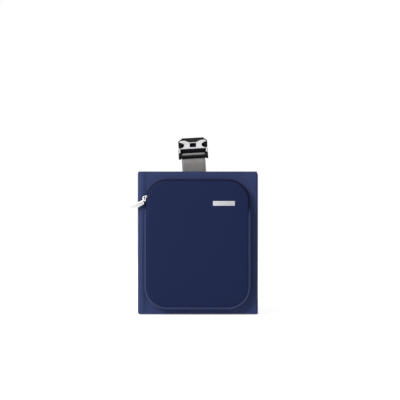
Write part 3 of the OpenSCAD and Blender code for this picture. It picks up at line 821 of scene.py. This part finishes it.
fold_points = np.hstack([np.tile(section, (len(heights), 1)), np.repeat(heights, len(section))[:, None]])
fold_faces = grid_faces(len(heights), len(section), wrap_columns=True)
fold_faces += [list(range(len(section))), list(range(len(fold_points) - len(section), len(fold_points)))]
fold = make_object("wing_fold_cloth", fold_points, fold_faces, edge_cloth)
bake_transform(fold)


# ---- Strap ----
# Grey polyester webbing, 32 mm wide and 1.5 mm thick, ribbed across its width. A short piece runs
# up from the wing to the buckle's socket; a long one goes from the lower anchor under and behind
# the strapped bag and over its top to the buckle's other half, where its end doubles back.

way_out = np.array(joint("buckle_release")["axis"])
STRAP_WIDTH, STRAP_THICK, PIVOT_Z = 0.032, 0.0015, panel_hi[2]
lean = math.radians(3.2)
tilt = math.acos(way_out[2] / math.cos(lean))
strap_x = -0.0048
BUCKLE_RISE = 0.0168


def in_strap_plane(p):
    """Carries points (across, y, z) of the strap's own upright plane into place: turned by the lean
    about the line where the strap leaves the pouch's top."""
    p = np.asarray(p, float)
    across, y, z = p[..., 0], p[..., 1], p[..., 2] - PIVOT_Z
    return np.stack([strap_x + across * math.cos(lean) - z * math.sin(lean), y,
                     PIVOT_Z + across * math.sin(lean) + z * math.cos(lean)], -1)


strap_y = wing_hi[1] + STRAP_THICK / 2
BUCKLE_Y, BUCKLE_Z = strap_y + 0.0006, PIVOT_Z + BUCKLE_RISE
TAIL_TILT, TAIL_Z, TAIL_LENGTH = math.radians(102), 0.046, 0.015


def turned(y, z, angle, origin):
    """A point (y, z) of a frame tipped back by angle about origin, in the strap's plane."""
    c, s = math.cos(angle), math.sin(angle)
    return origin[0] + y * c + z * s, origin[1] - y * s + z * c


def in_buckle(y, z):
    return turned(y * MM, z * MM, tilt, (BUCKLE_Y, BUCKLE_Z))


tail_root = in_buckle(0, TAIL_Z / MM)


def in_tail(y, z):
    return turned(y * MM, z * MM, TAIL_TILT, tail_root)


def arc(centre, radius, first, last, n=12):
    turn = np.radians(np.linspace(first, last, n + 1))
    return [(centre[0] + radius * math.cos(a), centre[1] + radius * math.sin(a)) for a in turn]


def make_webbing_material(name, dark, light, ribs=520.0, strength=0.8):
    """Webbing woven in ribs across its width with a herringbone down its middle, on the piece's own
    UV map: u runs along the strap and v across it, both in metres."""
    material, tree, shader = blank_material(name, 0.75, 0.25, 0.3)
    uv = tree.nodes.new("ShaderNodeUVMap")
    uv.uv_map = "UVMap"
    split = tree.nodes.new("ShaderNodeSeparateXYZ")
    wire(tree, uv, "UV", split, 0)
    across = math_node(tree, "ABSOLUTE", (split, 1))
    slant = math_node(tree, "ADD", (split, 0), math_node(tree, "MULTIPLY", across, 0.6))
    rib = math_node(tree, "SINE", math_node(tree, "MULTIPLY", slant, 2 * math.pi * ribs))
    warp = math_node(tree, "SINE", math_node(tree, "MULTIPLY", (split, 1), 2 * math.pi * 600))
    rib, warp = math_node(tree, "MULTIPLY", rib, 0.3), math_node(tree, "MULTIPLY", warp, 0.2)
    height = math_node(tree, "ADD", math_node(tree, "ADD", rib, warp), 0.5)
    noise = tree.nodes.new("ShaderNodeTexNoise")
    noise.inputs["Scale"].default_value = 180
    noise.inputs["Detail"].default_value = 5
    wire(tree, uv, "UV", noise, "Vector")
    cloud = math_node(tree, "MULTIPLY", (noise, 0), 0.5)
    shade = math_node(tree, "ADD", math_node(tree, "MULTIPLY", height, 0.6), cloud)
    mix = colour_ramp(tree, shade, dark, light)
    tree.links.new(mix.outputs["Result"], shader.inputs["Base Color"])
    bump(tree, shader, height, strength, 0.0002)
    return material


grey_webbing = make_webbing_material("grey_webbing", (0.076, 0.074, 0.073), (0.152, 0.149, 0.147))


def webbing(name, path, body, width=STRAP_WIDTH, thick=STRAP_THICK, step=0.0012):
    """Webbing along a path of (y, z) points in the strap's plane: a flat section with round
    selvedges, slightly thinner at its edges, carried along an even resampling of the path."""
    path = np.asarray(path, float)
    legs = np.linalg.norm(np.diff(path, axis=0), axis=1)
    reach = np.concatenate([[0], np.cumsum(legs)])
    at = np.linspace(0, reach[-1], max(int(reach[-1] / step), 4))
    line = np.stack([np.interp(at, reach, path[:, 0]), np.interp(at, reach, path[:, 1])], 1)
    for _ in range(3):
        line[1:-1] = (line[:-2] + 2 * line[1:-1] + line[2:]) / 4
    way, out = side_ways(line)
    ys = np.concatenate([np.linspace(-1, 1, 17), np.linspace(1, -1, 17)])
    bulge = np.sqrt(np.clip(1 - np.abs(ys) ** 14, 0, 1)) * (1 - 0.12 * np.abs(ys) ** 3)
    side = np.concatenate([np.ones(17), -np.ones(17)])
    across = ys * width / 2
    off = side * bulge * thick / 2
    y = line[:, None, 0] + out[:, None, 0] * off
    z = line[:, None, 1] + out[:, None, 1] * off
    x = np.broadcast_to(across, y.shape)
    points = in_strap_plane(np.stack([x, y, z], -1)).reshape(-1, 3)
    uv = np.stack([np.broadcast_to(at[:, None], y.shape), x], -1).reshape(-1, 2)
    rows, columns = y.shape
    faces = grid_faces(rows, columns, wrap_columns=True)
    faces += [list(range(columns)), list(range((rows - 1) * columns, rows * columns))]
    obj = make_object(name, points, faces, grey_webbing, body, uv=uv)
    return obj


BAG_DEPTH = 0.098
LOW_BEND, BACK_BEND = 0.012, 0.016
low_z, anchor_top_z = 0.038, 0.082
back_y = wing_hi[1] + BAG_DEPTH + STRAP_THICK / 2
front_path = ([(strap_y, PIVOT_Z - 0.042), (strap_y, BUCKLE_Z - 0.006)]
              + [in_buckle(1.5, -1.5), in_buckle(1.5, 6.4), in_buckle(-1.0, 7.8)]
              + [in_buckle(y, z) for y, z in arc((-0.1, 10.2), 2.55, 200, 20)]
              + [in_buckle(3.4, 7.3), in_buckle(3.4, -0.8)]
              + [(strap_y + 0.0019, BUCKLE_Z - 0.0075), (strap_y + 0.0019, BUCKLE_Z - 0.016)])
strap_front = webbing("strap_front_webbing", front_path, "rear_wing")
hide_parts("strap_front")

slope = TAIL_TILT - math.pi / 2
TOP_BEND = 0.020
top_start = in_tail(0, TAIL_LENGTH / MM + 3.2)
top_end_y = back_y - TOP_BEND + TOP_BEND * math.sin(slope)
top_end = (top_end_y, top_start[1] - (top_end_y - top_start[0]) * math.tan(slope))
top_bend_z = top_end[1] - TOP_BEND * math.cos(slope)
rear_path = ([(strap_y, anchor_top_z)] + arc((strap_y + LOW_BEND, low_z + LOW_BEND), LOW_BEND, 180, 270)
             + arc((back_y - BACK_BEND, low_z + BACK_BEND), BACK_BEND, -90, 0)
             + arc((back_y - TOP_BEND, top_bend_z), TOP_BEND, 0, 90 - math.degrees(slope)))
strap_rear = webbing("strap_rear_webbing", rear_path, "rear_wing")
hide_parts("strap_rear")

strap_top = webbing("strap_top_webbing", [top_end, top_start], None, step=0.0008)
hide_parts("strap_top")
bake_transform(strap_top)

TAIL_BAR = 3.0
wrap_r = STRAP_THICK / MM / 2 + TAIL_BAR / 2 + 0.2
bar_z = TAIL_LENGTH / MM - TAIL_BAR / 2
end_path = ([in_tail(0.85, TAIL_LENGTH / MM + 3.0)]
            + [in_tail(y, z) for y, z in arc((0, bar_z), wrap_r, 60, -180)]
            + [in_tail(-wrap_r, bar_z + 2.5), in_tail(-wrap_r, TAIL_LENGTH / MM + 34)])
free_end = webbing("strap_free_end_webbing", end_path, "buckle_male")
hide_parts("strap_free_end")

PATCH_MARGIN = 0.004
patch_weave = cloth_material("patch_cloth", NAVY, NAVY_LIGHT, 900.0, 0.5, sheen=0.2)


def anchor_patch(name, node):
    """A cloth patch over the end of the strap, sewn down with a box of stitches and a cross."""
    lo, hi = (np.array(p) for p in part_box(node))
    half = STRAP_WIDTH / 2 + PATCH_MARGIN
    z_mid = (lo[2] + hi[2]) / 2
    z_half = (hi[2] - lo[2]) / 2 - half * math.sin(lean)
    patch = padded_slab(name, (-half, half), (z_mid - z_half, z_mid + z_half),
                        (hi[1], wing_hi[1] + STRAP_THICK), 0.003, 0.0008, patch_weave, None, n=(40, 40))
    co = np.zeros(3 * len(patch.data.vertices))
    patch.data.vertices.foreach_get("co", co)
    co = co.reshape(-1, 3)
    past_strap = np.clip((np.abs(co[:, 0]) - STRAP_WIDTH / 2) / 0.0025, 0, 1)
    co[:, 1] -= past_strap * (STRAP_THICK - 0.0002)
    patch.data.vertices.foreach_set("co", in_strap_plane(co).ravel())
    patch.data.update()
    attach(patch, "rear_wing")
    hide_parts(node)
    a, z0, z1 = STRAP_WIDTH / 2 - 0.002, z_mid - z_half + 0.003, z_mid + z_half - 0.003
    box = [(x, hi[1], z) for x, z in ((-a, z0), (a, z0), (a, z1), (-a, z1), (-a, z0), (a, z1))]
    slash = [(a, hi[1], z0), (-a, hi[1], z1)]
    for part, path in (("_stitch", box), ("_cross", slash)):
        stitch_row(name + part, in_strap_plane(path), (0, 1, 0), "rear_wing")


anchor_patch("upper_patch_cloth", "anchor_patch_upper")
anchor_patch("lower_patch_cloth", "anchor_patch_lower")

elastic = make_webbing_material("black_elastic", (0.008, 0.008, 0.009), (0.03, 0.03, 0.032), 1100.0, 0.6)
KEEPER_Z, KEEPER_WIDE, KEEPER_WALL = TAIL_LENGTH / MM + 20, 10.0, 1.0
half_x = STRAP_WIDTH / MM / 2 + 0.3 + KEEPER_WALL / 2
deep = (-STRAP_THICK / MM * 2 - 1.4 - KEEPER_WALL / 2, STRAP_THICK / MM / 2 + 0.4 + KEEPER_WALL / 2)
belt = flat_profile(-half_x, half_x, deep[0], deep[1], 1.6, 6)
belt_way = np.roll(belt, -1, 0) - np.roll(belt, 1, 0)
belt_out = np.stack([belt_way[:, 1], -belt_way[:, 0]], 1) / np.linalg.norm(belt_way, axis=1)[:, None]
KEEPER_SIDES = 16
round_edge = np.linspace(0, 2 * np.pi, KEEPER_SIDES, endpoint=False)
keeper_w = np.sign(np.cos(round_edge)) * np.abs(np.cos(round_edge)) ** 0.35 * KEEPER_WIDE / 2
keeper_t = np.sin(round_edge) * KEEPER_WALL / 2
keeper_y, keeper_z = in_tail(belt[:, 1:] + belt_out[:, 1:] * keeper_t,
                             KEEPER_Z + KEEPER_WIDE / 2 + keeper_w)
keeper_x = (belt[:, :1] + belt_out[:, :1] * keeper_t) * MM
keeper_points = np.stack([keeper_x, keeper_y, keeper_z], -1).reshape(-1, 3)
girth = np.concatenate([[0], np.cumsum(np.linalg.norm(np.diff(belt, axis=0), axis=1))]) * MM
keeper_across = np.cos(round_edge) * KEEPER_WIDE / 2 * MM
keeper_uv = np.stack([np.repeat(girth, KEEPER_SIDES), np.tile(keeper_across, len(belt))], 1)
keeper_faces = grid_faces(len(belt), KEEPER_SIDES, wrap_rows=True, wrap_columns=True)
keeper = make_object("strap_keeper_elastic", in_strap_plane(keeper_points), keeper_faces, elastic,
                     "buckle_male", uv=keeper_uv)
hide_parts("strap_keeper")


# ---- Buckle ----
# A side-release buckle in black acetal: a socket with a webbing ladder and open sides, and a male
# half whose two sprung arms click into them. A bright plated cover is pressed on to the socket.


def moulded_plastic(name, dark=(0.004, 0.004, 0.005), light=(0.008, 0.008, 0.009), roughness=0.4):
    """Moulded acetal: a fine spark-eroded grain with slightly shinier rubbed places."""
    material, tree, shader = blank_material(name, roughness, 0.0, 0.03)
    place = tree.nodes.new("ShaderNodeTexCoord")
    noise = tree.nodes.new("ShaderNodeTexNoise")
    noise.inputs["Scale"].default_value = 1500
    noise.inputs["Detail"].default_value = 4
    wire(tree, place, "Object", noise, "Vector")
    mix = colour_ramp(tree, (noise, 0), dark, light)
    tree.links.new(mix.outputs["Result"], shader.inputs["Base Color"])
    rough = math_node(tree, "MULTIPLY_ADD", (noise, 0), 0.2)
    rough[0].inputs[2].default_value = roughness - 0.08
    tree.links.new(rough[0].outputs[0], shader.inputs["Roughness"])
    bump(tree, shader, (noise, 0), 0.12, 0.0001)
    return material


acetal = moulded_plastic("black_acetal")
plate = plated_metal("satin_plate", (0.47, 0.47, 0.48), 0.36)
for node_name, body, material, width, slot_name in (
        ("buckle_female", "rear_wing", acetal, 0.0006, "buckle_plastic"),
        ("buckle_cover", "rear_wing", plate, 0.0005, "buckle_plate"),
        ("buckle_male", "buckle_male", acetal, 0.0006, "buckle_plastic"),
        ("left_arm", "left_arm", acetal, 0.0006, "buckle_plastic"),
        ("right_arm", "right_arm", acetal, 0.0006, "buckle_plastic")):
    piece = rounded_copy(node_name + "_moulding", node_name, body, material, width)
